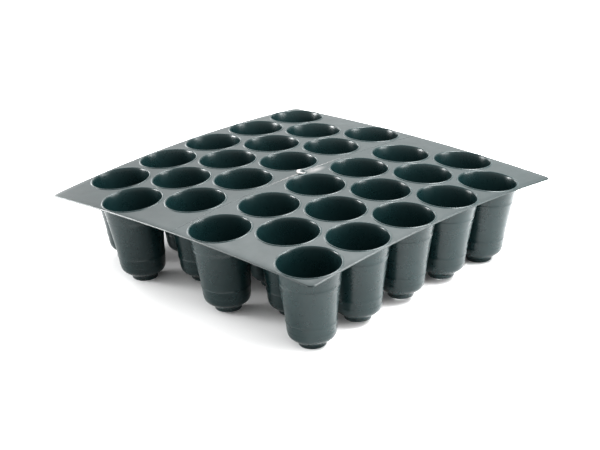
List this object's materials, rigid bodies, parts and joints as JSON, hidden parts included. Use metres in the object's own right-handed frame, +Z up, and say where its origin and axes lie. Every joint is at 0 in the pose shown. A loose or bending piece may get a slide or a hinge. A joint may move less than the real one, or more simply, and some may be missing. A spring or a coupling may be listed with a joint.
{
  "type": "plug tray",
  "caption": "Square plastic plug tray: a thin crowned deck with staggered rows of round holes, each opening into a tapered cell with a rounded bottom and a small foot.",
  "frame": {"origin": "centre of the tray's footprint, on the plane that its lowest feet stand on", "axes": "+Z up, +X along the rows of cells from the first cell to the last, +Y across the rows from row a to row f"},
  "size_m": [0.328, 0.328, 0.0865],
  "materials": {
    "tray_plastic": "satin moulded polystyrene or polypropylene, dark green-grey"
  },
  "bodies": {
    "root": {"deck_front": "tray_plastic", "deck_rear": "tray_plastic", "cell_a1": "tray_plastic", "cell_a2": "tray_plastic", "cell_a3": "tray_plastic", "cell_a4": "tray_plastic", "cell_a5": "tray_plastic", "cell_b1": "tray_plastic", "cell_b2": "tray_plastic", "cell_b3": "tray_plastic", "cell_b4": "tray_plastic", "cell_b5": "tray_plastic", "cell_c1": "tray_plastic", "cell_c2": "tray_plastic", "cell_c3": "tray_plastic", "cell_c4": "tray_plastic", "cell_c5": "tray_plastic", "cell_d1": "tray_plastic", "cell_d2": "tray_plastic", "cell_d3": "tray_plastic", "cell_d4": "tray_plastic", "cell_d5": "tray_plastic", "cell_e1": "tray_plastic", "cell_e2": "tray_plastic", "cell_e3": "tray_plastic", "cell_e4": "tray_plastic", "cell_e5": "tray_plastic", "cell_f1": "tray_plastic", "cell_f2": "tray_plastic", "cell_f3": "tray_plastic", "cell_f4": "tray_plastic", "cell_f5": "tray_plastic", "seam_rib": "tray_plastic", "gate_stub": "tray_plastic"}
  },
  "joints": []
}
